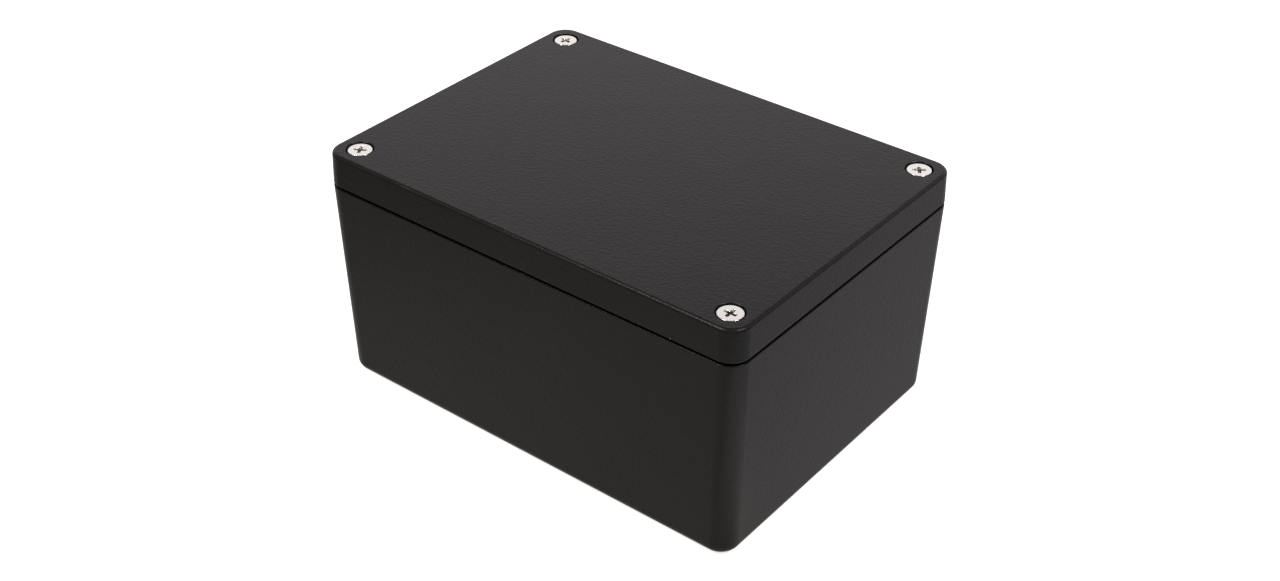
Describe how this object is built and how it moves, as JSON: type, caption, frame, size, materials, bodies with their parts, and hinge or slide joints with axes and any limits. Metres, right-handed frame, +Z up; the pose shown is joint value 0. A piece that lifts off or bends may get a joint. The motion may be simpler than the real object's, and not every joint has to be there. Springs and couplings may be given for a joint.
{
  "type": "aluminium enclosure",
  "caption": "Sealed die-cast aluminium enclosure: drafted box with rounded corners, a gasketed lid held by countersunk corner screws, and board posts inside.",
  "frame": {"origin": "middle of the underside of the base", "axes": "+X along the length, +Y along the width, +Z up through the lid"},
  "size_m": [0.148, 0.108, 0.0773],
  "materials": {
    "coat": "fine-textured matt black powder coat on cast aluminium",
    "gasket": "soft dark silicone rubber",
    "screw": "bright stainless steel"
  },
  "bodies": {
    "box": {"enclosure_base": "coat"},
    "lid": {"lid": "coat", "lid_gasket": "gasket", "lid_screws": "screw"}
  },
  "joints": [
    {"name": "lid_lift", "type": "slide", "parent": "box", "child": "lid", "axis": [0, 0, 1], "range_m": [0, 0.1]}
  ]
}
